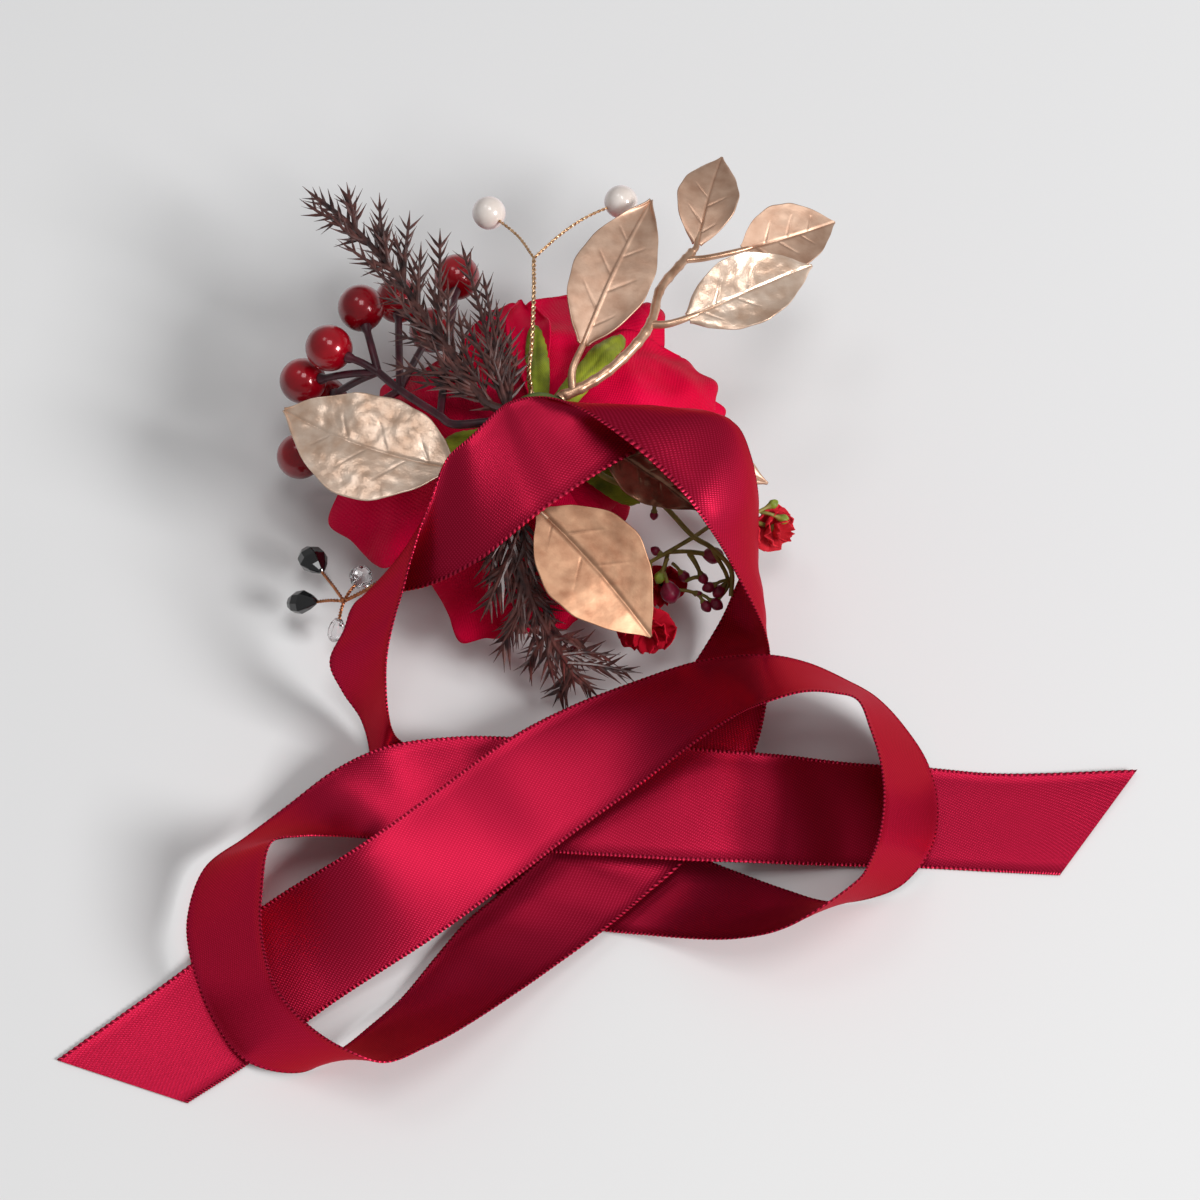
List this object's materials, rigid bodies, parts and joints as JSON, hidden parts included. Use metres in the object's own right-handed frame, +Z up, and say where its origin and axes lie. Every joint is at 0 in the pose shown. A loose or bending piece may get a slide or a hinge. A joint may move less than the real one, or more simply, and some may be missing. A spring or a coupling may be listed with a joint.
{
  "type": "wrist corsage",
  "caption": "Wrist corsage: a red satin peony with berries, foil leaves, pearls and crystals on a long satin ribbon, lying face down with the ribbon untied.",
  "frame": {"origin": "under the centre of the whole corsage, on the table it lies on", "axes": "+Z up from the table to the back of the flower, +X towards the square-cut right tail of the ribbon, +Y from the ribbon's loops to the flower and its sprays"},
  "size_m": [0.223, 0.2008, 0.0576],
  "materials": {
    "ribbon": "wine-red satin with a picot selvage",
    "petal": "matte red woven polyester",
    "sepal": "matte olive green cloth",
    "tape": "waxed stem tape",
    "felt": "dark red felt",
    "berry": "lacquered red",
    "berry_stem": "dark purple-brown coated wire",
    "sprig": "matte dark brown",
    "pearl": "pearlescent white",
    "gold_wire": "polished twisted wire",
    "gold_foil": "rose-gold foil, embossed veins",
    "black_crystal": "black, faceted",
    "clear_crystal": "clear, faceted",
    "copper_wire": "copper-coloured twisted wire",
    "filler_bloom": "coral red cloth",
    "filler_stem": "olive-brown stems with burgundy buds"
  },
  "bodies": {
    "root": {"satin_ribbon": "ribbon", "guard_petal_back_right": "petal", "guard_petal_back": "petal", "guard_petal_back_left": "petal", "guard_petal_left": "petal", "guard_petal_front_left": "petal", "guard_petal_front": "petal", "guard_petal_front_right": "petal", "guard_petal_right": "petal", "inner_petal_1": "petal", "inner_petal_2": "petal", "inner_petal_3": "petal", "inner_petal_4": "petal", "inner_petal_5": "petal", "inner_petal_6": "petal", "flower_core": "petal", "flower_receptacle": "sepal", "sepal_back": "sepal", "sepal_back_right": "sepal", "sepal_right": "sepal", "sepal_left": "sepal", "stem_bundle": "tape", "backing_pad": "felt", "berry_1": "berry", "berry_2": "berry", "berry_3": "berry", "berry_4": "berry", "berry_5": "berry", "berry_6": "berry", "berry_7": "berry", "berry_8": "berry", "berry_stem": "berry_stem", "upper_sprig": "sprig", "lower_sprig": "sprig", "pearl_left": "pearl", "pearl_right": "pearl", "pearl_wire": "gold_wire", "gold_leaf_1": "gold_foil", "gold_leaf_2": "gold_foil", "gold_leaf_3": "gold_foil", "gold_leaf_4": "gold_foil", "gold_leaf_5": "gold_foil", "gold_leaf_6": "gold_foil", "gold_leaf_7": "gold_foil", "gold_leaf_8": "gold_foil", "gold_branch": "gold_foil", "crystal_drop_black_1": "black_crystal", "crystal_drop_black_2": "black_crystal", "crystal_bead_clear_1": "clear_crystal", "crystal_bead_clear_2": "clear_crystal", "crystal_wire": "copper_wire", "filler_bloom_front": "filler_bloom", "filler_bloom_middle": "filler_bloom", "filler_bloom_right": "filler_bloom", "filler_spray": "filler_stem"}
  },
  "joints": []
}
